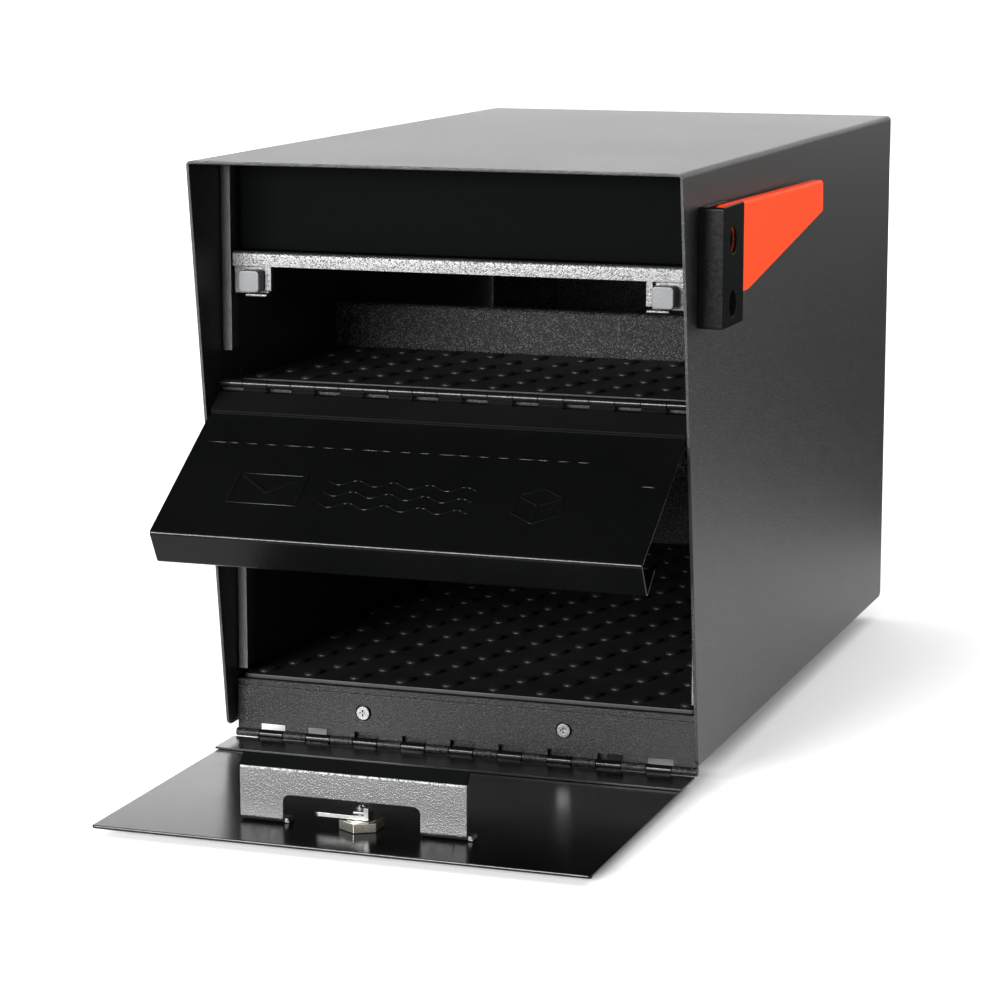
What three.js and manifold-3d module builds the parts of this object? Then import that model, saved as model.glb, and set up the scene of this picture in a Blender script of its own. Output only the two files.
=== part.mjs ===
// A curbside parcel drop box: a steel cabinet on a mounting pan, with a drop-down mail door over a
// locking access door, both on full-width piano hinges, and a carrier flag on its right wall.
// Millimetres, +Z up. The fronts face -Y. The origin is the middle of the mounting pan's underside.
// Inside the cabinet group, y = 0 is the walls' lower front corner and z = 0 is their lower edge.

import * as THREE from 'three';
import { mergeVertices } from 'three/addons/utils/BufferGeometryUtils.js';
import Module from 'manifold-3d';

const wasm = await Module();
wasm.setup();

// ---- driving dimensions ----------------------------------------------------------------------

const WIDTH = 300;
const HEIGHT = 349;
const DEPTH = 500;
const ROOF_OVERHANG = 46;
const WALL = 2;
const SHEET = 1.6;
const GAP = 0.3;
const BEND = 1;
const INNER_HALF = WIDTH / 2 - WALL;
const FIT_HALF = INNER_HALF - 0.4;

const REAR_PAN = 6;
const PAN_DROP = 16;
const PAN_HALF = 90;
const PAN_SHEET = 2.5;
const FLOOR_TOP = 27;
const MAT = 2.5;
const MAT_CORNER = 4;

const KNUCKLES = 19;
const HINGE_LENGTH = 294;
const KNUCKLE_RADIUS = 2.6;
const KNUCKLE_GAP = 0.4;
const KNUCKLE_RELIEF = KNUCKLE_RADIUS + 3.2;
const LEAF = 1.2;
const PIN_RADIUS = 1.2;
const ROUND_SIDES = 12;

const ACCESS_PIN = { y: 9.5, z: -6 };
const ACCESS_HALF = 145.8;
const ACCESS_SHEET = 2;
const ACCESS_FACE = ACCESS_PIN.z - KNUCKLE_RADIUS - GAP;
const ACCESS_REAR = -7.6;
const ACCESS_FRONT = -196;

const MAIL_PIN = { y: -8, z: 213.8 };
const MAIL_HALF = 147.2;
const MAIL_ROOT_ANGLE = 219;
const MAIL_ROOT = 26;
const MAIL_PANEL_ANGLE = 212.3;
const MAIL_PANEL = 100.5;
const MAIL_LIP_ANGLE = 298.7;
const MAIL_LIP = 23.7;
const MAIL_RETURN_ANGLE = 399;
const MAIL_RETURN = 20;

const SHELF_TOP = MAIL_PIN.z - KNUCKLE_RADIUS - GAP;
const SHELF_FRONT = -5;
const SHELF_REAR = 178;
const BAFFLE_HEIGHT = 29;

const JAMB_INNER = 141.5;
const UPPER_FRAME_Y = -2;
const LOWER_FRAME_Y = 14;
const HEADER_LIP_TOP = 292.6;
const HEADER_LIP_BOTTOM = 283.3;
const HEADER_Y = -1;
const HEADER_WEB_Y = 12;
const EAR_INNER = 116;
const BUMPER = { x: 127.8, z: 275.1, size: 13, front: -7.8 };

const LOCK = { x: -1.3, y: -152.2, barrel: 9.4, flange: 13, nut: 12.7, plug: 6.2, stud: 3 };
const LOCK_NUT_HEIGHT = 5;
const CAM_Z = -3;
const CAM_SHEET = 2.4;
const CAM_WIDTH = 11;
const CAM_REACH = 26.6;
const CAM_SCREW = 1.8;
const STOP_TAB = { x: 3.2, width: 3, sheet: 2, top: 4 };
const GUARD = { x0: -71.5, x1: 63, y: -159, top: 22.5, notch0: -45.5, notch1: 35.8, notchTop: 7.8 };
const STRIKE = { y: 10, bottom: 170, ledge: 22 };

const SCREW_X = 64;
const SCREW_Z = 12;
const SCREW_HEAD = 4.2;
const HEAD_HEIGHT = 2.4;
const SHANK = 2.5;
const CLEARANCE_HOLE = 2.8;

const FLAG = { y: 8, z: 308, lowerZ: 272, hub: 19.6 };
const FLAG_TIP = { y: 239.5, top: 324, bottom: 303.5 };
const FLAG_FOOT = { y0: 38, y1: 55.7, z: 274.5 };
const FLAG_INNER_X = 154.6;
const FLAG_OUTER_X = 162.6;
const HOUSING = { x1: 165, y0: -14, y1: 31, z0: 259, z1: 328 };
const COUNTERBORE = 8;
const COUNTERBORE_DEPTH = 7;
const BUSH = { radius: 7.6, recess: 5.6, recessDepth: 4, x1: 162.8 };
const FLAG_SCREW_HEAD = 4.6;

// ---- materials -------------------------------------------------------------------------------

function finish(color, roughness, metalness) {
  return new THREE.MeshStandardMaterial({ color, roughness, metalness });
}

const blackPaint = finish(0x101111, 0.4, 0.1);
const blackRubber = finish(0x0c0c0d, 0.7, 0);
const blackPlastic = finish(0x141414, 0.5, 0);
const greyRubber = finish(0xcfd2d4, 0.5, 0);
const zincSteel = finish(0x9fa19c, 0.35, 1);
const brassNickel = finish(0xb7ac8c, 0.3, 1);
const orangePlastic = finish(0xff5414, 0.4, 0);

// ---- geometry helpers ------------------------------------------------------------------------

const radians = THREE.MathUtils.degToRad;

function toSolid(geometry) {
  const bare = geometry.clone();
  bare.deleteAttribute('normal');
  bare.deleteAttribute('uv');
  const merged = mergeVertices(bare, 1e-4);
  const vertProperties = new Float32Array(merged.attributes.position.array);
  const triVerts = new Uint32Array(merged.index.array);
  return new wasm.Manifold(new wasm.Mesh({ numProp: 3, vertProperties, triVerts }));
}

function toGeometry(solid) {
  const mesh = solid.getMesh();
  const geometry = new THREE.BufferGeometry();
  geometry.setAttribute('position', new THREE.BufferAttribute(mesh.vertProperties, 3));
  geometry.setIndex(new THREE.BufferAttribute(mesh.triVerts, 1));
  geometry.computeVertexNormals();
  return geometry;
}

function join(...geometries) {
  return toGeometry(geometries.map(toSolid).reduce((sum, next) => sum.add(next)));
}

function cut(geometry, ...tools) {
  return toGeometry(tools.map(toSolid).reduce((left, next) => left.subtract(next), toSolid(geometry)));
}

function overlap(a, b) {
  return toGeometry(toSolid(a).intersect(toSolid(b)));
}

function box(x0, x1, y0, y1, z0, z1) {
  const geometry = new THREE.BoxGeometry(x1 - x0, y1 - y0, z1 - z0);
  return geometry.translate((x0 + x1) / 2, (y0 + y1) / 2, (z0 + z1) / 2);
}

function extrude(outline, depth, bevel = 0) {
  const shape = outline instanceof THREE.Shape ? outline : new THREE.Shape(outline);
  return new THREE.ExtrudeGeometry(shape, {
    depth: depth - 2 * bevel,
    curveSegments: ROUND_SIDES / 2,
    bevelEnabled: bevel > 0,
    bevelThickness: bevel,
    bevelSize: bevel,
    bevelOffset: -bevel,
    bevelSegments: 1,
  }).translate(0, 0, bevel);
}

// An outline in (y, z), from x0 to x1.
function prismX(outline, x0, x1, bevel = 0) {
  const turn = new THREE.Matrix4().makeBasis(
    new THREE.Vector3(0, 1, 0),
    new THREE.Vector3(0, 0, 1),
    new THREE.Vector3(1, 0, 0),
  );
  return extrude(outline, x1 - x0, bevel).applyMatrix4(turn).translate(x0, 0, 0);
}

// An outline in (x, z), from y0 to y1.
function prismY(outline, y0, y1) {
  return extrude(outline, y1 - y0).rotateX(Math.PI / 2).translate(0, y1, 0);
}

// An outline in (x, y), from z0 to z1.
function prismZ(outline, z0, z1) {
  return extrude(outline, z1 - z0).translate(0, 0, z0);
}

function circle(u, v, radius) {
  const shape = new THREE.Shape();
  return shape.absarc(u, v, radius, 0, 2 * Math.PI, false);
}

function ring(u, v, outer, inner) {
  const shape = circle(u, v, outer);
  shape.holes.push(circle(u, v, inner));
  return shape;
}

function polygon(sides, u, v, radius) {
  const corner = (_, i) => new THREE.Vector2(
    u + radius * Math.cos((2 * Math.PI * i) / sides),
    v + radius * Math.sin((2 * Math.PI * i) / sides),
  );
  return Array.from({ length: sides }, corner);
}

function points(...pairs) {
  return pairs.map(([u, v]) => new THREE.Vector2(u, v));
}

function rectangle(u0, u1, v0, v1) {
  return points([u0, v0], [u1, v0], [u1, v1], [u0, v1]);
}

// A polygon whose corners are rounded; a radius of 0 leaves a corner sharp.
function rounded(corners, radii, steps = 4) {
  const outline = [];
  corners.forEach((corner, i) => {
    const before = corners[(i + corners.length - 1) % corners.length];
    const after = corners[(i + 1) % corners.length];
    const radius = Array.isArray(radii) ? radii[i] : radii;
    outline.push(...(radius > 0 ? roundCorner(before, corner, after, radius, steps) : [corner]));
  });
  return outline;
}

function roundCorner(before, corner, after, radius, steps) {
  const arriving = corner.clone().sub(before).normalize();
  const leaving = after.clone().sub(corner).normalize();
  const turn = Math.atan2(arriving.cross(leaving), arriving.dot(leaving));
  const start = corner.clone().addScaledVector(arriving, -radius * Math.tan(Math.abs(turn) / 2));
  const inward = new THREE.Vector2(-arriving.y, arriving.x).multiplyScalar(Math.sign(turn));
  const centre = start.clone().addScaledVector(inward, radius);
  const step = (_, i) => start.clone().rotateAround(centre, (turn * i) / steps);
  return Array.from({ length: steps + 1 }, step);
}

// The section of a folded sheet. The path is one face; the sheet lies on the left of its direction.
function foldedSheet(path, thickness, bend = BEND, steps = 4) {
  const near = [];
  const far = [];
  path.forEach((corner, i) => {
    const before = path[i - 1];
    const after = path[i + 1];
    if (!before || !after) {
      const along = (after ?? corner).clone().sub(before ?? corner).normalize();
      near.push(corner);
      far.push(corner.clone().add(new THREE.Vector2(-along.y, along.x).multiplyScalar(thickness)));
      return;
    }
    const arriving = corner.clone().sub(before).normalize();
    const leaving = after.clone().sub(corner).normalize();
    const left = Math.sign(arriving.cross(leaving));
    const nearRadius = left > 0 ? bend + thickness : bend;
    const arc = roundCorner(before, corner, after, nearRadius, steps);
    const inward = new THREE.Vector2(-arriving.y, arriving.x).multiplyScalar(left);
    const centre = arc[0].clone().addScaledVector(inward, nearRadius);
    const scale = (nearRadius - left * thickness) / nearRadius;
    near.push(...arc);
    far.push(...arc.map((p) => p.clone().sub(centre).multiplyScalar(scale).add(centre)));
  });
  return [...near, ...far.reverse()];
}

// ---- the scene graph -------------------------------------------------------------------------

const dropBox = new THREE.Group();
const cabinet = new THREE.Group();
cabinet.position.set(0, -DEPTH / 2, PAN_DROP);
dropBox.add(cabinet);

function add(name, geometry, material, parent = cabinet) {
  const mesh = new THREE.Mesh(geometry, material);
  mesh.name = name;
  parent.add(mesh);
  return mesh;
}

const sides = [['left', -1], ['right', 1]];

function mirrored(side, x0, x1, ...rest) {
  return side < 0 ? box(-x1, -x0, ...rest) : box(x0, x1, ...rest);
}

// ---- cabinet shell ---------------------------------------------------------------------------

function makeShell() {
  const half = WIDTH / 2;
  const hood = foldedSheet(points([half, 0], [half, HEIGHT], [-half, HEIGHT], [-half, 0]), WALL);
  const corners = points([0, 0], [DEPTH, 0], [DEPTH, HEIGHT + 1], [-ROOF_OVERHANG, HEIGHT + 1]);
  const outline = rounded(corners, [5, 5, 0, 0]);
  const hoodSolid = prismY(hood, -ROOF_OVERHANG - 5, DEPTH + 5);
  const trimmed = overlap(hoodSolid, prismX(outline, -half - 1, half + 1));
  const holes = [FLAG.z, FLAG.lowerZ].map((z) => (
    prismX(circle(FLAG.y, z, CLEARANCE_HOLE), half - WALL - 1, half + 1)
  ));
  add('body_shell', cut(trimmed, ...holes), blackPaint);
}

function makeRearPanel() {
  const bottom = 0.5;
  const top = HEIGHT - WALL - 0.6;
  const plateY = DEPTH - REAR_PAN;
  const pan = box(-FIT_HALF, FIT_HALF, plateY, DEPTH - 0.5, bottom, top);
  const recess = box(
    -FIT_HALF + SHEET, FIT_HALF - SHEET,
    plateY + SHEET, DEPTH + 1,
    bottom + SHEET, top - SHEET,
  );
  add('rear_panel', cut(pan, recess), blackPaint);
}

const THRESHOLD_Y = ACCESS_PIN.y + KNUCKLE_RADIUS + GAP;
const THRESHOLD_BOTTOM = 0;
const FLOOR_REAR = DEPTH - REAR_PAN - GAP;

function makeFloor() {
  const flangeBottom = 2;
  const slab = box(-FIT_HALF, FIT_HALF, THRESHOLD_Y, FLOOR_REAR, flangeBottom, FLOOR_TOP);
  const threshold = box(
    -FIT_HALF, FIT_HALF,
    THRESHOLD_Y, THRESHOLD_Y + WALL,
    THRESHOLD_BOTTOM, FLOOR_TOP,
  );
  const underside = box(
    -FIT_HALF + WALL, FIT_HALF - WALL,
    THRESHOLD_Y + WALL, FLOOR_REAR - WALL,
    flangeBottom - 1, FLOOR_TOP - WALL,
  );
  const screwHoles = [-SCREW_X, SCREW_X].map((x) => (
    prismY(circle(x, SCREW_Z, CLEARANCE_HOLE), THRESHOLD_Y - 1, THRESHOLD_Y + WALL + 1)
  ));
  add('floor_pan', cut(join(slab, threshold), underside, ...screwHoles), blackPaint);

  const edge = 2.5;
  const matHalf = FIT_HALF - edge;
  const mat = rounded(rectangle(-matHalf, matHalf, THRESHOLD_Y + edge, FLOOR_REAR - edge), MAT_CORNER);
  add('floor_mat', prismZ(mat, FLOOR_TOP + GAP, FLOOR_TOP + GAP + MAT), blackRubber);
}

function makeMountingPan() {
  const front = THRESHOLD_Y + WALL + GAP;
  const rear = FLOOR_REAR - 14;
  const top = FLOOR_TOP - WALL - GAP;
  const pan = box(-PAN_HALF, PAN_HALF, front, rear, -PAN_DROP, top);
  const inside = box(
    -PAN_HALF + PAN_SHEET, PAN_HALF - PAN_SHEET,
    front + PAN_SHEET, rear - PAN_SHEET,
    -PAN_DROP + PAN_SHEET, top + 1,
  );
  const screwHoles = [-SCREW_X, SCREW_X].map((x) => (
    prismY(circle(x, SCREW_Z, CLEARANCE_HOLE), front - 1, front + PAN_SHEET + 1)
  ));
  const boltX = 50;
  const boltY = [150, 350];
  const boltHoles = boltY.flatMap((y) => [-boltX, boltX].map((x) => (
    prismZ(circle(x, y, 4.5), -PAN_DROP - 1, -PAN_DROP + PAN_SHEET + 1)
  )));
  add('mounting_pan', cut(pan, inside, ...screwHoles, ...boltHoles), blackPaint);

  for (const [name, side] of sides) {
    const x = side * SCREW_X;
    const seat = THRESHOLD_Y - GAP;
    const head = prismY(circle(x, SCREW_Z, SCREW_HEAD), seat - HEAD_HEIGHT, seat);
    const shank = prismY(circle(x, SCREW_Z, SHANK), seat - 1, front + PAN_SHEET + 6);
    const crossDepth = seat - HEAD_HEIGHT + 1;
    const cross = [
      box(x - 2, x + 2, seat - 4, crossDepth, SCREW_Z - 0.4, SCREW_Z + 0.4),
      box(x - 0.4, x + 0.4, seat - 4, crossDepth, SCREW_Z - 2, SCREW_Z + 2),
    ];
    add(`threshold_screw_${name}`, cut(join(head, shank), ...cross), zincSteel);
  }
}

// ---- front frame -----------------------------------------------------------------------------

// An angle with its face across the opening's edge and its web along the side wall.
function jamb(side, y, bottom, top) {
  const web = 20;
  return join(
    mirrored(side, JAMB_INNER, FIT_HALF, y, y + SHEET, bottom, top),
    mirrored(side, FIT_HALF - SHEET, FIT_HALF, y, y + web, bottom, top),
  );
}

function makeJambs() {
  for (const [name, side] of sides) {
    const upperJamb = jamb(side, UPPER_FRAME_Y, 232.5, HEIGHT - WALL - 2);
    const holes = [FLAG.z, FLAG.lowerZ].map((z) => (
      prismX(circle(FLAG.y, z, CLEARANCE_HOLE), FIT_HALF - SHEET - 1, FIT_HALF + 1)
    ));
    add(`upper_jamb_${name}`, side > 0 ? cut(upperJamb, ...holes) : upperJamb, blackPaint);
    add(`lower_jamb_${name}`, jamb(side, LOWER_FRAME_Y, 33, SHELF_TOP - WALL - GAP), blackPaint);
  }
}

const HEADER_HALF = JAMB_INNER - 0.5;

function makeHeader() {
  const roofInside = HEIGHT - WALL - GAP;
  const section = foldedSheet(points(
    [HEADER_Y, HEADER_LIP_BOTTOM],
    [HEADER_Y, HEADER_LIP_TOP],
    [HEADER_WEB_Y, HEADER_LIP_TOP],
    [HEADER_WEB_Y, roofInside],
    [HEADER_WEB_Y + 20, roofInside],
  ).reverse(), SHEET);
  const ears = sides.flatMap(([, side]) => [
    mirrored(side, EAR_INNER, EAR_INNER + 4.2, HEADER_Y, HEADER_Y + 4.6, 269, HEADER_LIP_BOTTOM + 1),
    mirrored(side, EAR_INNER + 3, HEADER_HALF, HEADER_Y + 3, HEADER_Y + 4.6, 267, HEADER_LIP_TOP - 0.5),
    mirrored(side, EAR_INNER + 1.5, EAR_INNER + 15, HEADER_Y - 4, HEADER_Y + 3.5, 266, 267.4),
  ]);
  add('header_panel', join(prismX(section, -HEADER_HALF, HEADER_HALF), ...ears), blackPaint);

  const r = BUMPER.size / 2;
  for (const [name, side] of sides) {
    const x = side * BUMPER.x;
    const square = rounded(rectangle(x - r, x + r, BUMPER.z - r, BUMPER.z + r), 2.4);
    add(`bumper_${name}`, prismY(square, BUMPER.front, HEADER_Y + 3 - GAP), greyRubber);
  }
}

function makeStrikeRail() {
  const top = SHELF_TOP - WALL - GAP;
  const section = foldedSheet(points(
    [STRIKE.y, STRIKE.bottom],
    [STRIKE.y, top],
    [STRIKE.y + STRIKE.ledge, top],
  ).reverse(), SHEET);
  add('strike_rail', prismX(section, -HEADER_HALF, HEADER_HALF), blackPaint);
}

// ---- mail shelf ------------------------------------------------------------------------------

function makeShelf() {
  const flangeHeight = 8;
  const shelf = join(
    box(-FIT_HALF, FIT_HALF, SHELF_FRONT, SHELF_REAR, SHELF_TOP - WALL, SHELF_TOP),
    ...sides.map(([, side]) => (
      mirrored(side, FIT_HALF - SHEET, FIT_HALF, 22, SHELF_REAR, SHELF_TOP - WALL, SHELF_TOP + flangeHeight)
    )),
  );
  add('mail_shelf', shelf, blackPaint);

  const matHalf = FIT_HALF - SHEET - 1;
  const baffleY = SHELF_REAR - 2 * SHEET;
  const mat = rounded(rectangle(-matHalf, matHalf, SHELF_FRONT + 20, baffleY - 9), MAT_CORNER);
  add('shelf_mat', prismZ(mat, SHELF_TOP + GAP, SHELF_TOP + GAP + MAT), blackRubber);

  const foot = SHELF_TOP + GAP;
  const section = foldedSheet(points(
    [baffleY - 8, foot],
    [baffleY, foot],
    [baffleY, foot + BAFFLE_HEIGHT],
    [baffleY + 7, foot + BAFFLE_HEIGHT],
  ), SHEET);
  add('shelf_baffle', prismX(section, -matHalf, matHalf), blackPaint);
}

// ---- piano hinges ----------------------------------------------------------------------------

// One leaf, with the pin along X through the origin and the leaf reaching out along +Y.
function hingeLeaf(width, side, ownsKnuckle) {
  const pitch = HINGE_LENGTH / KNUCKLES;
  const half = HINGE_LENGTH / 2;
  const w0 = side > 0 ? KNUCKLE_RADIUS - LEAF : -KNUCKLE_RADIUS;
  const pieces = [box(-half, half, KNUCKLE_RELIEF, width, w0, w0 + LEAF)];
  for (let i = 0; i < KNUCKLES; i += 1) {
    if (ownsKnuckle(i)) {
      const x0 = -half + i * pitch + (i > 0 ? KNUCKLE_GAP / 2 : 0);
      const x1 = -half + (i + 1) * pitch - (i < KNUCKLES - 1 ? KNUCKLE_GAP / 2 : 0);
      pieces.push(prismX(circle(0, 0, KNUCKLE_RADIUS), x0, x1));
      pieces.push(box(x0, x1, 0, KNUCKLE_RELIEF + 0.5, w0, w0 + LEAF));
    }
  }
  const bore = prismX(circle(0, 0, PIN_RADIUS + 0.25), -half - 1, half + 1);
  return cut(join(...pieces), bore);
}

const isEven = (i) => i % 2 === 0;
const isOdd = (i) => i % 2 === 1;

function pinGeometry() {
  return prismX(circle(0, 0, PIN_RADIUS), -HINGE_LENGTH / 2, HINGE_LENGTH / 2);
}

function place(mesh, at, angle = 0) {
  mesh.position.set(at.x ?? 0, at.y, at.z);
  mesh.rotation.x = radians(angle);
}

function makeAccessHinge() {
  const fixedWidth = 29.5;
  const leafHoles = [-SCREW_X, SCREW_X].map((x) => (
    prismZ(circle(x, SCREW_Z - ACCESS_PIN.z, SCREW_HEAD + 1), -KNUCKLE_RADIUS - 1, 0)
  ));
  const fixed = cut(hingeLeaf(fixedWidth, -1, isEven), ...leafHoles);
  place(add('access_hinge_fixed_leaf', fixed, blackPaint), ACCESS_PIN, 90);
  place(add('access_hinge_moving_leaf', hingeLeaf(33.7, 1, isOdd), blackPaint), ACCESS_PIN, 180);
  place(add('access_hinge_pin', pinGeometry(), blackPaint), ACCESS_PIN);
}

function makeMailHinge() {
  place(add('mail_hinge_fixed_leaf', hingeLeaf(20, -1, isEven), blackPaint), MAIL_PIN, 0);
  place(add('mail_hinge_moving_leaf', hingeLeaf(21, 1, isOdd), blackPaint), MAIL_PIN, MAIL_ROOT_ANGLE);
  place(add('mail_hinge_pin', pinGeometry(), blackPaint), MAIL_PIN);
}

// ---- doors -----------------------------------------------------------------------------------

function makeAccessDoor() {
  const plate = rounded(rectangle(-ACCESS_HALF, ACCESS_HALF, ACCESS_FRONT, ACCESS_REAR), 2);
  const lockHole = prismZ(circle(LOCK.x, LOCK.y, LOCK.barrel + GAP), ACCESS_FACE - 10, ACCESS_FACE + 10);
  const panel = cut(prismZ(plate, ACCESS_FACE - ACCESS_SHEET, ACCESS_FACE), lockHole);
  add('access_door_panel', panel, blackPaint);
}

function makeLatchGuard() {
  const foot = ACCESS_FACE + GAP;
  const section = foldedSheet(points(
    [GUARD.y + 5.3, GUARD.top + 6.9],
    [GUARD.y, GUARD.top],
    [GUARD.y, foot],
    [GUARD.y + 12, foot],
  ), SHEET, 1.5);
  const opening = rectangle(GUARD.notch0, GUARD.notch1, foot - 5, GUARD.notchTop);
  const notch = rounded(opening, [0, 0, 4, 4]);
  const arch = cut(prismX(section, GUARD.x0, GUARD.x1), prismY(notch, GUARD.y - 5, GUARD.y + 30));
  add('latch_guard', arch, blackPaint);

  const beads = { guard_weld_left: GUARD.notch0, guard_weld_right: GUARD.x1 };
  for (const [name, edge] of Object.entries(beads)) {
    const x = edge + 1.9;
    const throat = 2.6;
    const bead = rounded(points(
      [x - 1.6, foot],
      [x + 1.6, foot],
      [x + 0.4, foot + throat],
      [x - 1.6, foot + throat],
    ), 0.5);
    add(name, prismY(bead, GUARD.y + 1, GUARD.y + 9), blackPaint);
  }
}

function makeLockHousing() {
  const underside = ACCESS_FACE - ACCESS_SHEET;
  const faceZ = underside - GAP - 2.1;
  const barrelTop = CAM_Z - GAP;
  const { x, y } = LOCK;
  const barrel = join(
    prismZ(circle(x, y, LOCK.barrel), faceZ + 1, barrelTop),
    prismZ(circle(x, y, LOCK.flange), faceZ, underside - GAP),
  );
  const plugBore = prismZ(circle(x, y, LOCK.plug + GAP), faceZ - 1, barrelTop + 1);
  add('lock_housing', cut(barrel, plugBore), brassNickel);

  const nutFoot = ACCESS_FACE + GAP;
  const hexagon = polygon(6, x, y, LOCK.nut).map((p) => p.rotateAround({ x, y }, radians(30)));
  const nut = cut(
    prismZ(hexagon, nutFoot, nutFoot + LOCK_NUT_HEIGHT),
    prismZ(circle(x, y, LOCK.barrel + GAP), ACCESS_FACE, ACCESS_FACE + 10),
  );
  add('lock_nut', nut, brassNickel);

  const plug = join(
    prismZ(circle(x, y, LOCK.plug), faceZ + 0.3, barrelTop),
    prismZ(circle(x, y, LOCK.stud), barrelTop - 1, CAM_Z + CAM_SHEET),
  );
  const keyway = box(x - 0.6, x + 0.6, y - 4, y + 4, faceZ - 1, faceZ + 4);
  const screwBore = prismZ(circle(x, y, CAM_SCREW + GAP), CAM_Z - 5, CAM_Z + 10);
  add('lock_plug', cut(plug, keyway, screwBore), brassNickel);
}

function makeCam() {
  const { x, y } = LOCK;
  const half = CAM_WIDTH / 2;
  const tail = STOP_TAB.x + STOP_TAB.width;
  const outline = rounded(rectangle(x - CAM_REACH, x + tail, y - half, y + half), [3, 0, 4, 3]);
  const tab = box(
    x + STOP_TAB.x, x + tail,
    y - half, y - half + STOP_TAB.sheet,
    CAM_Z, STOP_TAB.top,
  );
  const hole = prismZ(circle(x, y, LOCK.stud + 0.25), CAM_Z - 1, CAM_Z + CAM_SHEET + 1);
  add('lock_cam', cut(join(prismZ(outline, CAM_Z, CAM_Z + CAM_SHEET), tab), hole), zincSteel);

  const washerZ = CAM_Z + CAM_SHEET + GAP;
  const washerSheet = 1.2;
  const washer = prismZ(ring(x, y - 0.1, 5, CAM_SCREW + GAP), washerZ, washerZ + washerSheet);
  const flat = box(x - 6, x + 6, y - 6, y - half + STOP_TAB.sheet + GAP, washerZ - 1, washerZ + 3);
  add('cam_washer', cut(washer, flat), zincSteel);

  const headZ = washerZ + washerSheet + GAP;
  const headRadius = 3.2;
  const screw = join(
    prismZ(circle(x, y, headRadius), headZ, headZ + HEAD_HEIGHT),
    prismZ(circle(x, y, CAM_SCREW), CAM_Z - 4, headZ + 1),
  );
  const crossZ = headZ + HEAD_HEIGHT - 1;
  const cross = [
    box(x - 2.2, x + 2.2, y - 0.4, y + 0.4, crossZ, headZ + 4),
    box(x - 0.4, x + 0.4, y - 2.2, y + 2.2, crossZ, headZ + 4),
  ];
  add('cam_screw', cut(screw, ...cross), zincSteel);
}

function heading(angle, length) {
  return new THREE.Vector2(Math.cos(radians(angle)), Math.sin(radians(angle))).multiplyScalar(length);
}

function makeMailDoor() {
  const pin = new THREE.Vector2(MAIL_PIN.y, MAIL_PIN.z);
  const outward = heading(MAIL_ROOT_ANGLE + 90, KNUCKLE_RADIUS + GAP);
  const root = pin.clone().add(outward).add(heading(MAIL_ROOT_ANGLE, 3));
  const bend = pin.clone().add(outward).add(heading(MAIL_ROOT_ANGLE, MAIL_ROOT));
  const edge = bend.clone().add(heading(MAIL_PANEL_ANGLE, MAIL_PANEL));
  const tip = edge.clone().add(heading(MAIL_LIP_ANGLE, MAIL_LIP));
  const end = tip.clone().add(heading(MAIL_RETURN_ANGLE, MAIL_RETURN));
  const section = foldedSheet([root, bend, edge, tip, end], SHEET);
  add('mail_door_panel', prismX(section, -MAIL_HALF, MAIL_HALF), blackPaint);
}

// ---- carrier flag ----------------------------------------------------------------------------

function makeFlagHousing() {
  const { x1, y0, y1, z0, z1 } = HOUSING;
  const x0 = WIDTH / 2 + GAP;
  const block = prismX(rounded(rectangle(y0, y1, z0, z1), 1.5), x0, x1);
  const slot = points(
    [y0 + 1.2, z1 + 5],
    [y0 + 1.2, 284],
    [12, 284],
    [y1, 272],
    [y1 + 5, 272],
    [y1 + 5, z1 + 5],
  );
  const tools = [
    prismX(slot, FLAG_INNER_X - 0.6, FLAG_OUTER_X + 0.6),
    prismX(circle(FLAG.y, FLAG.z, COUNTERBORE), FLAG_OUTER_X, x1 + 1),
    prismX(circle(FLAG.y, FLAG.lowerZ, COUNTERBORE), x1 - COUNTERBORE_DEPTH, x1 + 1),
    prismX(circle(FLAG.y, FLAG.z, CLEARANCE_HOLE), x0 - 1, x1),
    prismX(circle(FLAG.y, FLAG.lowerZ, CLEARANCE_HOLE), x0 - 1, x1),
  ];
  add('flag_housing', cut(block, ...tools), blackPlastic);

  const bush = prismX(circle(FLAG.y, FLAG.z, BUSH.radius), FLAG_INNER_X - 0.6 + GAP, BUSH.x1);
  const recess = prismX(circle(FLAG.y, FLAG.z, BUSH.recess), BUSH.x1 - BUSH.recessDepth, BUSH.x1 + 1);
  const bore = prismX(circle(FLAG.y, FLAG.z, CLEARANCE_HOLE), FLAG_INNER_X - 2, BUSH.x1);
  add('flag_bush', cut(bush, recess, bore), blackPlastic);
}

function makeFlagFasteners() {
  const nutTop = FIT_HALF - SHEET - GAP;
  const seats = {
    upper: { z: FLAG.z, headX: BUSH.x1 - BUSH.recessDepth + GAP },
    lower: { z: FLAG.lowerZ, headX: HOUSING.x1 - COUNTERBORE_DEPTH + GAP },
  };
  for (const [name, { z, headX }] of Object.entries(seats)) {
    const screw = join(
      prismX(circle(FLAG.y, z, FLAG_SCREW_HEAD), headX, headX + HEAD_HEIGHT),
      prismX(circle(FLAG.y, z, SHANK), nutTop - 5, headX + 1),
    );
    const slotX = headX + HEAD_HEIGHT - 0.9;
    const slot = box(slotX, slotX + 4, FLAG.y - 3.5, FLAG.y + 3.5, z - 0.6, z + 0.6);
    add(`flag_screw_${name}`, cut(screw, slot), zincSteel);
    const nut = cut(
      prismX(polygon(6, FLAG.y, z, 4.9), nutTop - 3.4, nutTop),
      prismX(circle(FLAG.y, z, CLEARANCE_HOLE), nutTop - 5, nutTop + 1),
    );
    add(`flag_nut_${name}`, nut, zincSteel);
  }
}

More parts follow.
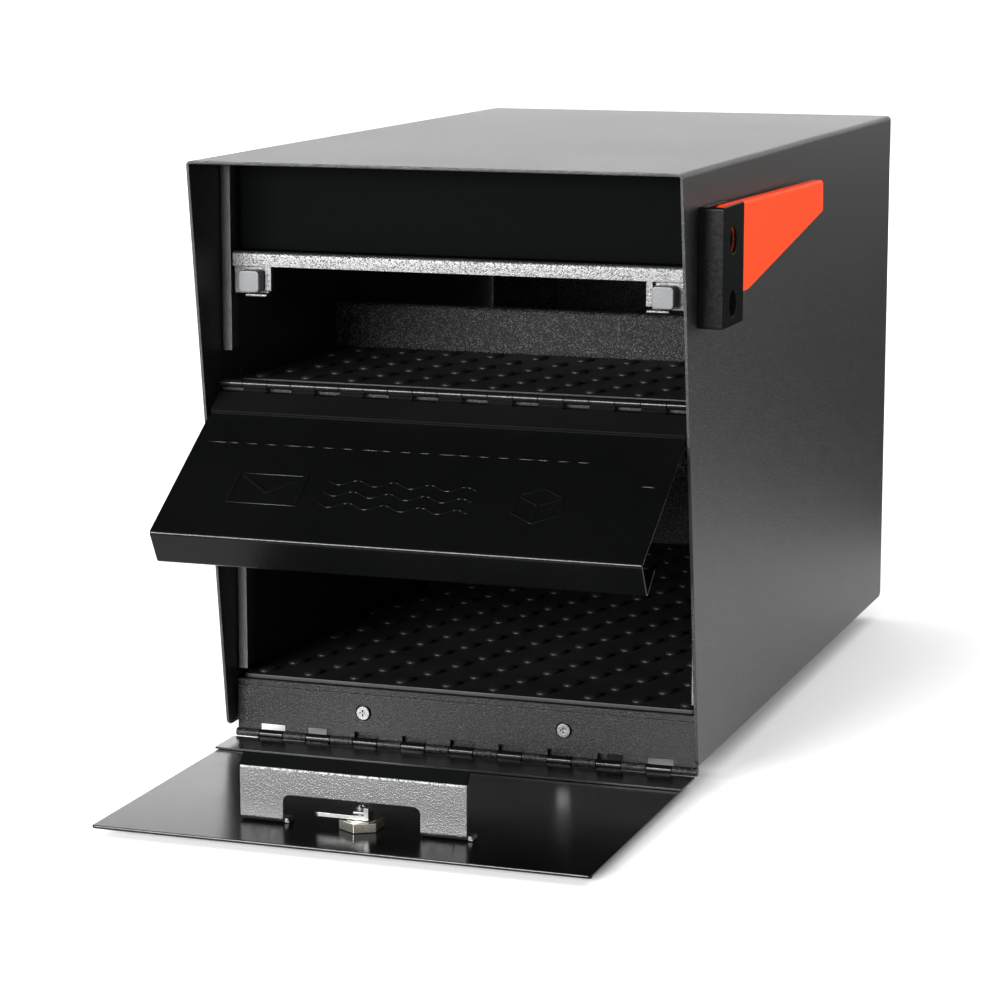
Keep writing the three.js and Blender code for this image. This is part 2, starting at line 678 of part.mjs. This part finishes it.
function makeFlagBlade() {
  const hubStart = 90;
  const hubEnd = 270;
  const hubSteps = 10;
  const hub = Array.from({ length: hubSteps + 1 }, (_, i) => (
    heading(hubStart + ((hubEnd - hubStart) * i) / hubSteps, FLAG.hub).add(new THREE.Vector2(FLAG.y, FLAG.z))
  ));
  const blade = rounded([...hub, ...points(
    [FLAG.y + 10, FLAG.z - FLAG.hub + 1],
    [FLAG_FOOT.y0, FLAG_FOOT.z],
    [FLAG_FOOT.y1, FLAG_FOOT.z],
    [FLAG_TIP.y + 1, FLAG_TIP.bottom],
    [FLAG_TIP.y, FLAG_TIP.top],
  )], [...hub.map(() => 0), 0, 2, 5, 2, 1.5]);
  const bore = prismX(circle(FLAG.y, FLAG.z, BUSH.radius + GAP), FLAG_INNER_X - 1, FLAG_OUTER_X + 1);
  add('flag_blade', cut(prismX(blade, FLAG_INNER_X, FLAG_OUTER_X, 1.4), bore), orangePlastic);
}

makeShell();
makeRearPanel();
makeFloor();
makeMountingPan();
makeJambs();
makeHeader();
makeStrikeRail();
makeShelf();
makeAccessHinge();
makeMailHinge();
makeAccessDoor();
makeLatchGuard();
makeLockHousing();
makeCam();
makeMailDoor();
makeFlagHousing();
makeFlagFasteners();
makeFlagBlade();

export default dropBox;
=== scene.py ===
"""Looks for the curbside parcel drop box: paint, rubber, plastic and plated metal on the CAD nodes, the nubs
of the two mats, the raised lines on the mail door, and a plain pale studio."""

import math

import bpy
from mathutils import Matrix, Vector


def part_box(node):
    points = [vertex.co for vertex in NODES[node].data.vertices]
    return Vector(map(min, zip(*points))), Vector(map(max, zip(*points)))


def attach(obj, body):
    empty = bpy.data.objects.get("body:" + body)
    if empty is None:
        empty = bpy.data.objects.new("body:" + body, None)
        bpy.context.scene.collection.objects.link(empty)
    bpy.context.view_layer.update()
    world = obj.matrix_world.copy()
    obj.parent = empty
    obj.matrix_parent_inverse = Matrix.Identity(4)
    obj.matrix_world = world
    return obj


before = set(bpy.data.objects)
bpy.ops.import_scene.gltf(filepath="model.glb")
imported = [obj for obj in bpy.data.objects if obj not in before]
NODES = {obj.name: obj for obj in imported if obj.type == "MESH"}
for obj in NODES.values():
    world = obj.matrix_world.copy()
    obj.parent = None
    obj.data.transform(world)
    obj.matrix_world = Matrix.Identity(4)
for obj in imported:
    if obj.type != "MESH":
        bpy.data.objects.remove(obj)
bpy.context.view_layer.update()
MM = 0.001

# ---- camera ----------------------------------------------------------------------------------

CAMERA_AT = (0.6178, -1.9677, 0.5034)
CAMERA_DOWN = 10.488
CAMERA_LEFT = 18.964
CAMERA_LENS = 113.17


def make_camera():
    """The view of the photo: its place, angles and lens were solved from the box's edges there."""
    data = bpy.data.cameras.new("camera")
    data.lens = CAMERA_LENS
    data.sensor_width = 36
    data.clip_end = 200
    camera = bpy.data.objects.new("camera", data)
    camera.location = CAMERA_AT
    camera.rotation_euler = (math.radians(90 - CAMERA_DOWN), 0, math.radians(CAMERA_LEFT))
    bpy.context.scene.collection.objects.link(camera)
    bpy.context.scene.camera = camera


# ---- finishes --------------------------------------------------------------------------------


PAINT_GRAIN = 1250.0
# Painted shade: the smooth, black, unreflecting top part of the header and guard paints.
SMOOTH_GLOSS = 0.14
PAINTED_SHADE_SPECULAR = 0.0
PAINTED_SHADE_EDGE = 0.3 * MM


class Shader:
    """A small wrapper for building one procedural material."""

    def __init__(self, name):
        self.material = bpy.data.materials.new(name)
        self.material.use_nodes = True
        self.tree = self.material.node_tree
        self.bsdf = self.tree.nodes["Principled BSDF"]
        self.place = self.add("ShaderNodeTexCoord").outputs["Object"]

    def add(self, kind, **settings):
        node = self.tree.nodes.new(kind)
        for key, value in settings.items():
            setattr(node, key, value)
        return node

    def link(self, source, target):
        self.tree.links.new(source, target)

    def stretched(self, scale):
        mapping = self.add("ShaderNodeMapping")
        mapping.inputs["Scale"].default_value = scale
        self.link(self.place, mapping.inputs["Vector"])
        return mapping.outputs["Vector"]

    def noise(self, scale, detail=2.0, roughness=0.5, vector=None):
        node = self.add("ShaderNodeTexNoise")
        node.inputs["Scale"].default_value = scale
        node.inputs["Detail"].default_value = detail
        node.inputs["Roughness"].default_value = roughness
        self.link(vector or self.place, node.inputs["Vector"])
        return node.outputs["Fac"]

    def cells(self, scale):
        node = self.add("ShaderNodeTexVoronoi")
        node.inputs["Scale"].default_value = scale
        self.link(self.place, node.inputs["Vector"])
        return node.outputs["Distance"]

    def spread(self, value, low, high, out_low, out_high):
        node = self.add("ShaderNodeMapRange")
        for key, number in zip(("From Min", "From Max", "To Min", "To Max"), (low, high, out_low, out_high)):
            node.inputs[key].default_value = number
        self.link(value, node.inputs["Value"])
        return node.outputs["Result"]

    def blend(self, factor, first, second):
        node = self.add("ShaderNodeMix", data_type="RGBA")
        self.link(factor, node.inputs["Factor"])
        node.inputs["A"].default_value = (*first, 1)
        node.inputs["B"].default_value = (*second, 1)
        return node.outputs["Result"]

    def math(self, operation, first, second):
        node = self.add("ShaderNodeMath", operation=operation)
        for socket, value in zip(node.inputs, (first, second)):
            if isinstance(value, (int, float)):
                socket.default_value = value
            else:
                self.link(value, socket)
        return node.outputs["Value"]

    def bump(self, height, distance):
        node = self.add("ShaderNodeBump")
        node.inputs["Strength"].default_value = 1.0
        node.inputs["Distance"].default_value = distance
        self.link(height, node.inputs["Height"])
        return node.outputs["Normal"]

    def set(self, **values):
        names = {"colour": "Base Color", "roughness": "Roughness", "metallic": "Metallic", "normal": "Normal",
                 "specular": "Specular IOR Level"}
        for key, value in values.items():
            socket = self.bsdf.inputs[names[key]]
            if isinstance(value, (int, float)):
                socket.default_value = value
            else:
                self.link(value, socket)
        return self.material


def powder_coat(name, dark, light, depth, roughness, specular, painted_shade_above=None, drift=0.03):
    """Black powder coat: a fine pebbled skin, over a slow change of gloss. Above the given height, in the
    object's own frame, the paint is smooth, loses its lighter crests and reflects almost nothing: painted
    shade."""
    s = Shader(name)
    pebble = s.spread(s.cells(PAINT_GRAIN), 0.1, 0.6, 1.0, 0.0)
    crest = s.math("MULTIPLY", pebble, s.spread(s.noise(PAINT_GRAIN * 0.6, detail=1.0), 0.35, 0.6, 0.1, 1.0))
    wander = s.spread(s.noise(9.0, detail=3.0), 0.3, 0.7, -drift, drift)
    gloss = s.math("ADD", s.spread(crest, 0, 1, roughness + 0.06, roughness - 0.06), wander)
    # Painted shade: above that height the crests lose their lighter colour, the gloss turns smooth and the
    # specular falls to nothing.
    if painted_shade_above is not None:
        height = s.add("ShaderNodeSeparateXYZ")
        s.link(s.place, height.inputs[0])
        unshaded_part = s.spread(height.outputs["Z"], painted_shade_above, painted_shade_above + PAINTED_SHADE_EDGE, 1.0, 0.0)
        crest = s.math("MULTIPLY", crest, unshaded_part)
        extra = s.math("MULTIPLY", s.math("SUBTRACT", gloss, SMOOTH_GLOSS), unshaded_part)
        gloss = s.math("ADD", SMOOTH_GLOSS, extra)
        specular = s.spread(unshaded_part, 0, 1, PAINTED_SHADE_SPECULAR, specular)
    return s.set(colour=s.blend(crest, dark, light), roughness=gloss, normal=s.bump(crest, depth * MM),
                 specular=specular)


def smooth_paint(name, dark, light, roughness, specular):
    """The flatter, glossier coat on the doors and most of the hinge parts, with a faint orange peel."""
    s = Shader(name)
    peel = s.noise(1100.0, detail=1.0)
    drift = s.noise(14.0, detail=4.0)
    speck = s.spread(s.cells(700.0), 0.0, 0.12, 1.0, 0.0)
    gloss = s.math("ADD", s.spread(drift, 0.3, 0.7, roughness - 0.04, roughness + 0.05),
                   s.math("MULTIPLY", speck, 0.08))
    return s.set(colour=s.blend(drift, dark, light), roughness=gloss, normal=s.bump(peel, 0.05 * MM),
                 specular=specular)


def rubber(name, dark, light, roughness):
    """Rubber with a cloudy bloom and a fine grain."""
    s = Shader(name)
    bloom = s.noise(22.0, detail=5.0)
    grain = s.noise(1500.0, detail=1.0)
    return s.set(colour=s.blend(bloom, dark, light),
                 roughness=s.spread(bloom, 0.3, 0.7, roughness - 0.05, roughness + 0.07),
                 normal=s.bump(grain, 0.05 * MM), specular=0.3)


def plated(name, dark, light, roughness, streak):
    """Plated metal with the fine lines that turning or rolling leaves."""
    s = Shader(name)
    lines = s.noise(700.0, detail=3.0, vector=s.stretched(streak))
    tint = s.noise(60.0, detail=4.0)
    return s.set(colour=s.blend(tint, dark, light), metallic=1.0,
                 roughness=s.spread(lines, 0.3, 0.7, roughness - 0.06, roughness + 0.1),
                 normal=s.bump(lines, 0.015 * MM))


def moulded(name, dark, light, roughness, depth, specular):
    """Injection-moulded plastic with a faint texture from its tool."""
    s = Shader(name)
    tool = s.noise(850.0, detail=2.0)
    drift = s.noise(18.0, detail=3.0)
    return s.set(colour=s.blend(drift, dark, light),
                 roughness=s.spread(tool, 0.3, 0.7, roughness - 0.04, roughness + 0.06),
                 normal=s.bump(tool, depth * MM), specular=specular)


# ---- dressing the CAD nodes ------------------------------------------------------------------


SMOOTH_ANGLE = math.radians(40)
BEVEL_ANGLE = math.radians(36)
FLAT_ANGLE = math.radians(1)
WELD_DISTANCE = 1e-6


def smooth_by_angle():
    """A node group that shades smooth across every edge flatter than SMOOTH_ANGLE."""
    group = bpy.data.node_groups.new("smooth_by_angle", "GeometryNodeTree")
    group.interface.new_socket("Geometry", in_out="INPUT", socket_type="NodeSocketGeometry")
    group.interface.new_socket("Geometry", in_out="OUTPUT", socket_type="NodeSocketGeometry")
    add = group.nodes.new
    start, end = add("NodeGroupInput"), add("NodeGroupOutput")
    faces, edges = add("GeometryNodeSetShadeSmooth"), add("GeometryNodeSetShadeSmooth")
    edges.domain = "EDGE"
    angle, limit = add("GeometryNodeInputMeshEdgeAngle"), add("FunctionNodeCompare")
    limit.operation = "LESS_THAN"
    limit.inputs["B"].default_value = SMOOTH_ANGLE
    link = group.links.new
    link(start.outputs[0], faces.inputs["Geometry"])
    link(faces.outputs[0], edges.inputs["Geometry"])
    link(angle.outputs["Unsigned Angle"], limit.inputs["A"])
    link(limit.outputs["Result"], edges.inputs["Shade Smooth"])
    link(edges.outputs[0], end.inputs[0])
    return group


SMOOTH = smooth_by_angle()
LIP_RISE = 26.3 * MM
GUARD_SLOPE = 6.6 * MM
BLACK = (0.0022, 0.0024, 0.0024)
CREST = (0.03, 0.032, 0.031)


def soften(obj, bevel):
    """Rounds an object's edges by bevel millimetres and shades its curved faces smooth."""
    obj.modifiers.new("weld", "WELD").merge_threshold = WELD_DISTANCE
    merged = obj.modifiers.new("flat", "DECIMATE")
    merged.decimate_type = "DISSOLVE"
    merged.angle_limit = FLAT_ANGLE
    edge = obj.modifiers.new("edge", "BEVEL")
    edge.width = bevel * MM
    edge.segments = 2
    edge.limit_method = "ANGLE"
    edge.angle_limit = BEVEL_ANGLE
    edge.use_clamp_overlap = False
    obj.modifiers.new("smooth", "NODES").node_group = SMOOTH
    normals = obj.modifiers.new("normals", "WEIGHTED_NORMAL")
    normals.keep_sharp = True


def paint(obj, material):
    """Makes material the object's only one."""
    obj.data.materials.clear()
    obj.data.materials.append(material)


def dress(material, bevel, *names):
    """Paints CAD nodes and rounds their edges by bevel millimetres."""
    for name in names:
        paint(NODES[name], material)
        soften(NODES[name], bevel)


def own_height(node, z):
    """A height in the row frame, as a height in the node's own frame."""
    return z - NODES[node].matrix_world.translation.z


def dress_cad_nodes():
    """Gives every CAD node its finish, and returns the two finishes that the added pieces share."""
    # Painted shade on the header and guard: their paints turn black and unreflecting above these two heights.
    lip_top = own_height("header_panel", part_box("header_panel")[0].z + LIP_RISE)
    guard_top = own_height("latch_guard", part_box("latch_guard")[1].z - GUARD_SLOPE)
    textured = powder_coat("textured_black_paint", BLACK, CREST, depth=0.16, roughness=0.36, specular=1.0)
    # Painted shade: the pan paint's low specular dims the threshold and the other pan parts as if shaded; its
    # lighter crests are the paint's grain.
    pan_shaded_paint = powder_coat("pan_black_paint_painted_shade", BLACK, (0.05, 0.052, 0.051),
                            depth=0.24, roughness=0.34, specular=0.17)
    # Partly painted light: the inner paint's much lighter crests are grain, and they also grey the rear
    # panel, baffle and rail as if lit.
    inner = powder_coat("inner_black_paint_grain_and_painted_light", BLACK, (0.11, 0.113, 0.11),
                        depth=0.3, roughness=0.36, specular=0.05)
    header_shaded_paint = powder_coat("header_black_paint_painted_shade", BLACK, CREST,
                               depth=0.16, roughness=0.36, specular=1.0, painted_shade_above=lip_top)
    guard_shaded_paint = powder_coat("guard_black_paint_painted_shade", BLACK, CREST,
                              depth=0.16, roughness=0.36, specular=1.0, painted_shade_above=guard_top)
    wall = powder_coat("wall_black_paint", BLACK, (0.006, 0.0075, 0.0065),
                       depth=0.16, roughness=0.36, specular=0.5, drift=0.008)
    door = smooth_paint("door_black_paint", (0.0012, 0.0013, 0.0014), (0.002, 0.0021, 0.0022),
                        roughness=0.19, specular=0.13)
    hinge = smooth_paint("hinge_black_paint", (0.0015, 0.0015, 0.0015), (0.004, 0.004, 0.004),
                         roughness=0.2, specular=0.16)
    nickel = plated("nickel_brass", (0.4, 0.385, 0.33), (0.58, 0.56, 0.49), roughness=0.3, streak=(1, 1, 6))
    zinc = plated("zinc_plate", (0.07, 0.073, 0.07), (0.17, 0.174, 0.168), roughness=0.34, streak=(1, 4, 1))
    dark_zinc = plated("dark_zinc_plate", (0.07, 0.072, 0.07), (0.15, 0.153, 0.15),
                       roughness=0.34, streak=(1, 4, 1))
    mat = rubber("mat_rubber", (0.003, 0.003, 0.0035), (0.007, 0.007, 0.008), roughness=0.5)
    bumper = rubber("bumper_rubber", (0.055, 0.058, 0.063), (0.08, 0.083, 0.088), roughness=0.35)
    housing = moulded("housing_plastic", (0.003, 0.003, 0.0035), (0.006, 0.006, 0.0065),
                      roughness=0.2, depth=0.02, specular=0.08)
    flag = moulded("flag_plastic", (0.93, 0.05, 0.001), (0.97, 0.066, 0.002),
                   roughness=0.5, depth=0.015, specular=0.1)

    dress(wall, 0.5, "body_shell")
    dress(pan_shaded_paint, 0.35, "floor_pan", "mail_shelf", "mounting_pan")
    dress(inner, 0.35, "rear_panel", "shelf_baffle", "strike_rail")
    dress(textured, 0.4, "upper_jamb_left", "upper_jamb_right", "lower_jamb_left", "lower_jamb_right")
    dress(header_shaded_paint, 0.4, "header_panel")
    dress(guard_shaded_paint, 0.4, "latch_guard")
    dress(pan_shaded_paint, 0.3, "access_hinge_fixed_leaf")
    dress(textured, 0.3, "guard_weld_left", "guard_weld_right")
    dress(door, 0.75, "access_door_panel", "mail_door_panel")
    dress(hinge, 0.12, "access_hinge_moving_leaf", "mail_hinge_fixed_leaf", "mail_hinge_moving_leaf")
    dress(hinge, 0.1, "access_hinge_pin", "mail_hinge_pin")
    dress(mat, 0.4, "floor_mat", "shelf_mat")
    dress(bumper, 0.8, "bumper_left", "bumper_right")
    dress(nickel, 0.25, "lock_housing", "lock_nut", "lock_plug")
    dress(zinc, 0.25, "lock_cam", "cam_washer", "cam_screw")
    dress(dark_zinc, 0.2, "threshold_screw_left", "threshold_screw_right")
    dress(zinc, 0.25, "flag_screw_upper", "flag_screw_lower", "flag_nut_upper", "flag_nut_lower")
    dress(housing, 0.5, "flag_housing", "flag_bush")
    dress(flag, 0.4, "flag_blade")
    return {"mat": mat, "door": door}


# ---- pieces that CAD leaves to the looks -----------------------------------------------------


def mesh_object(name, vertices, faces):
    """A new object in the scene, from its points and faces."""
    mesh = bpy.data.meshes.new(name)
    mesh.from_pydata(vertices, [], faces)
    mesh.validate()
    obj = bpy.data.objects.new(name, mesh)
    bpy.context.scene.collection.objects.link(obj)
    return obj


BEAD_SIDES = 12
BEAD_RINGS = ((0.0, 0.0), (0.12, 0.6), (0.4, 0.92), (0.75, 1.0))


def bead(centre, along, up, length, width, height):
    """A raised rounded bar: rings of points from its foot to its crown, and its faces."""
    across = up.cross(along)
    points, faces = [], []
    reach = max(length - width, 0) / 2
    for inset, rise in BEAD_RINGS:
        radius = width / 2 * (1 - inset)
        for i in range(BEAD_SIDES):
            turn = 2 * math.pi * (i + 0.5) / BEAD_SIDES
            shift = math.copysign(reach, math.cos(turn)) + radius * math.cos(turn)
            points.append(centre + along * shift + across * radius * math.sin(turn) + up * height * rise)
    for ring in range(len(BEAD_RINGS) - 1):
        for i in range(BEAD_SIDES):
            j = (i + 1) % BEAD_SIDES
            low, high = ring * BEAD_SIDES, (ring + 1) * BEAD_SIDES
            faces.append((low + i, low + j, high + j, high + i))
    top = (len(BEAD_RINGS) - 1) * BEAD_SIDES
    faces.append(tuple(range(top, top + BEAD_SIDES)))
    faces.append(tuple(reversed(range(BEAD_SIDES))))
    return points, faces


def beaded(name, beads, body, material):
    """One object made of many beads, riding a CAD body."""
    vertices, faces = [], []
    for shape in beads:
        points, sides = bead(*shape)
        start = len(vertices)
        vertices.extend(points)
        faces.extend(tuple(start + i for i in side) for side in sides)
    obj = mesh_object(name, vertices, faces)
    obj.data.shade_smooth()
    paint(obj, material)
    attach(obj, body)
    return obj


NUB_LENGTH = 14.0 * MM
NUB_WIDTH = 8.0 * MM
NUB_HEIGHT = 2.0 * MM
NUB_PITCH_X = 30.0 * MM
NUB_PITCH_Y = 25.0 * MM
NUB_SHIFT = 9.0 * MM
MAT_MARGIN = 6.0 * MM
SUNK = 0.15 * MM


def mat_nubs(name, node, material):
    """Diagonal rows of nubs over a mat, set into its top face."""
    low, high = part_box(node)
    along = Vector((NUB_SHIFT, NUB_PITCH_Y, 0)).normalized()
    up = Vector((0, 0, 1))
    rows = int((high.y - low.y - 4 * MAT_MARGIN) / NUB_PITCH_Y)
    columns = int((high.x - low.x - 2 * MAT_MARGIN) / NUB_PITCH_X)
    beads = []
    for row in range(rows + 1):
        for column in range(columns + 1):
            x = low.x + 2 * MAT_MARGIN + column * NUB_PITCH_X + row * NUB_SHIFT % NUB_PITCH_X
            y = low.y + 2 * MAT_MARGIN + row * NUB_PITCH_Y
            if x < high.x - MAT_MARGIN:
                beads.append((Vector((x, y, high.z - SUNK)), along, up, NUB_LENGTH, NUB_WIDTH, NUB_HEIGHT))
    return beaded(name, beads, "cabinet", material)


FACE_NORMAL = Vector((0, -0.534, 0.845))
FACE_BEND = Vector((0, -276.4, 211.2)) * MM
STROKE = 2.4 * MM
STROKE_HEIGHT = 0.6 * MM
DASHES = 20
DASH_START = -138
DASH_PITCH = 12
DASH_LENGTH = 6
LONG_DASH = 10
DASH_ROW = 20
SIGN_ROW = 58
SIDE_MARK = ((132, 37), (140, 37))
ENVELOPE_AT, ENVELOPE_SIZE = -88, (42, 25)
WAVES_AT, WAVES_SIZE = -8, (88, 25)
PARCEL_AT, PARCEL_SIZE = 76, (27, 29)
FLAP_DIP = 0.12
WAVES = 4
WAVE_STEPS = 32
WAVE_ROWS_PER_HEIGHT = 2.6
SWINGS_PER_HEIGHT = 11
SAME_WAY = 0.999


def face_height(node, normal):
    """How far along normal the largest flat face of a CAD node that looks that way lies, in the row frame."""
    obj = NODES[node]
    best_area, height = 0.0, 0.0
    for polygon in obj.data.polygons:
        if polygon.normal.dot(normal) > SAME_WAY and polygon.area > best_area:
            best_area = polygon.area
            height = normal.dot(obj.matrix_world @ obj.data.vertices[polygon.vertices[0]].co)
    return height


def polyline(points):
    """The strokes that join the points in turn."""
    return list(zip(points[:-1], points[1:]))


def envelope(x, v, width, height):
    """A closed envelope: an outline and the two edges of its flap."""
    left, right, top, low = x - width / 2, x + width / 2, v - height / 2, v + height / 2
    outline = polyline([(left, top), (right, top), (right, low), (left, low), (left, top)])
    return outline + polyline([(left, top), (x, v + height * FLAP_DIP), (right, top)])


def parcel(x, v, width, height):
    """A box seen from a corner: a six-sided outline with three edges meeting in its middle."""
    half, quarter = height / 2, height / 4
    left, right = x - width / 2, x + width / 2
    corners = [(x, v - half), (right, v - quarter), (right, v + quarter), (x, v + half), (left, v + quarter),
               (left, v - quarter), (x, v - half)]
    return polyline(corners) + [((x, v), corner) for corner in (corners[1], corners[3], corners[5])]


def waves(x, v, width, height):
    """Three wavy lines, as on a cancelled stamp."""
    strokes = []
    for level in (-1, 0, 1):
        points = []
        for i in range(WAVE_STEPS + 1):
            along = x - width / 2 + width * i / WAVE_STEPS
            swing = math.sin(WAVES * math.tau * i / WAVE_STEPS) * height / SWINGS_PER_HEIGHT
            points.append((along, v + level * height / WAVE_ROWS_PER_HEIGHT + swing))
        strokes += polyline(points)
    return strokes


def mail_door_marks(material):
    """Raised lines on the mail door's inner face: a row of dashes by the bend, and simple signs below it.
    The marks' places and sizes are millimetres across the door and down it from the bend."""
    normal = FACE_NORMAL.normalized()
    down = Vector((0, -normal.z, normal.y)).normalized()
    height = face_height("mail_door_panel", normal)
    bend = FACE_BEND + normal * (height - normal.dot(FACE_BEND) - SUNK)
    strokes = []
    for i in range(DASHES):
        x = DASH_START + i * DASH_PITCH
        length = DASH_LENGTH if i % 4 else LONG_DASH
        strokes.append(((x, DASH_ROW), (x + length, DASH_ROW)))
    strokes += envelope(ENVELOPE_AT, SIGN_ROW, *ENVELOPE_SIZE)
    strokes += waves(WAVES_AT, SIGN_ROW, *WAVES_SIZE)
    strokes += parcel(PARCEL_AT, SIGN_ROW, *PARCEL_SIZE)
    strokes.append(SIDE_MARK)
    beads = []
    for start, end in strokes:
        first, last = (bend + Vector((x * MM, 0, 0)) + down * v * MM for x, v in (start, end))
        length = (last - first).length + STROKE
        beads.append(((first + last) / 2, (last - first).normalized(), normal, length, STROKE, STROKE_HEIGHT))
    return beaded("mail_door_marks", beads, "mail_door", material)


# ---- studio ----------------------------------------------------------------------------------


FLOOR_REACH = 60
FLOOR_DROP = 0.3 * MM
FLOOR_GLOW = 0.08
FLOOR_WHITE = (0.9, 0.9, 0.9)
DARK_CARD = (0.02, 0.02, 0.02)
GREENISH_CARD = (0.02, 0.028, 0.02)
FRONT_CARD = ((-4, -6), (3, -0.75))
REAR_CARD = ((0.19, 0.5), (4, 8))
MOTTLE = 1.02

WORLD_BRIGHT_TO = 0.25
WORLD_DARK_FROM = 0.55
WORLD_DARK = 0.012
WORLD_STRENGTH = 0.95

KEY_AT, KEY_TOWARDS = (-1.0, -3.0, 0.72), (0, -0.2, 0.2)
KEY_SIZE, KEY_POWER = (1.6, 0.7), 240
REAR_AT, REAR_TOWARDS = (-1.6, 4.6, 0.8), (0, 0, 0.3)
REAR_SIZE, REAR_POWER = (4.2, 1.3), 58
SKY_STRENGTH = 3.5
SKY_SPREAD = 110


def flat(name, low, high, height, colour, glow=0.0):
    """A level rectangle that belongs to the studio, from corner low to corner high."""
    corners = [(low[0], low[1], height), (high[0], low[1], height),
               (high[0], high[1], height), (low[0], high[1], height)]
    obj = mesh_object(name, corners, [(0, 1, 2, 3)])
    s = Shader(name)
    shade = s.blend(s.noise(0.6, detail=1.0), colour, tuple(part * MOTTLE for part in colour))
    paint(obj, s.set(colour=shade, roughness=0.9, specular=0.0))
    s.bsdf.inputs["Emission Color"].default_value = (1, 1, 1, 1)
    s.bsdf.inputs["Emission Strength"].default_value = glow
    return obj


def reflected_only(obj):
    """The object shows in glossy reflections, and not to the camera, in diffuse light or in shadows."""
    obj.visible_camera = False
    obj.visible_diffuse = False
    obj.visible_shadow = False


def make_floor():
    """A white floor, and two dark cards lying on it that only the paint's reflections see."""
    low, high = (-FLOOR_REACH, -FLOOR_REACH), (FLOOR_REACH, FLOOR_REACH)
    flat("studio_floor", low, high, -FLOOR_DROP, FLOOR_WHITE, glow=FLOOR_GLOW)
    reflected_only(flat("front_card", *FRONT_CARD, 0, DARK_CARD))
    reflected_only(flat("rear_card", *REAR_CARD, 0, GREENISH_CARD))


def make_world():
    """Bright below the horizon and a little above it, dark overhead."""
    world = bpy.data.worlds.new("studio")
    bpy.context.scene.world = world
    world.use_nodes = True
    tree = world.node_tree
    background = tree.nodes["Background"]
    place = tree.nodes.new("ShaderNodeTexCoord")
    split = tree.nodes.new("ShaderNodeSeparateXYZ")
    ramp = tree.nodes.new("ShaderNodeValToRGB")
    ramp.color_ramp.elements[0].position = WORLD_BRIGHT_TO
    ramp.color_ramp.elements[0].color = (1, 1, 1, 1)
    ramp.color_ramp.elements[1].position = WORLD_DARK_FROM
    ramp.color_ramp.elements[1].color = (WORLD_DARK, WORLD_DARK, WORLD_DARK, 1)
    tree.links.new(place.outputs["Generated"], split.inputs[0])
    tree.links.new(split.outputs["Z"], ramp.inputs["Fac"])
    tree.links.new(ramp.outputs["Color"], background.inputs["Color"])
    background.inputs["Strength"].default_value = WORLD_STRENGTH


def softbox(name, at, towards, size, power):
    """A rectangular light that faces a point."""
    data = bpy.data.lights.new(name, "AREA")
    data.shape = "RECTANGLE"
    data.size, data.size_y = size
    data.energy = power
    lamp = bpy.data.objects.new(name, data)
    lamp.location = at
    lamp.rotation_euler = (Vector(towards) - Vector(at)).to_track_quat("-Z", "Y").to_euler()
    bpy.context.scene.collection.objects.link(lamp)


def sky_lamp(strength, spread):
    """A very soft overhead light that lifts the floor to white and is not seen in the paint."""
    data = bpy.data.lights.new("sky_lamp", "SUN")
    data.energy = strength
    data.angle = math.radians(spread)
    lamp = bpy.data.objects.new("sky_lamp", data)
    lamp.visible_glossy = False
    bpy.context.scene.collection.objects.link(lamp)


def make_studio():
    """The floor, the world, three lights and the view transform."""
    make_floor()
    make_world()
    softbox("key", KEY_AT, KEY_TOWARDS, KEY_SIZE, KEY_POWER)
    softbox("rear_left", REAR_AT, REAR_TOWARDS, REAR_SIZE, REAR_POWER)
    sky_lamp(SKY_STRENGTH, SKY_SPREAD)
    bpy.context.scene.view_settings.view_transform = "Standard"


make_camera()
finishes = dress_cad_nodes()
mat_nubs("shelf_mat_nubs", "shelf_mat", finishes["mat"])
mat_nubs("floor_mat_nubs", "floor_mat", finishes["mat"])
mail_door_marks(finishes["door"])
make_studio()

bpy.context.view_layer.update()
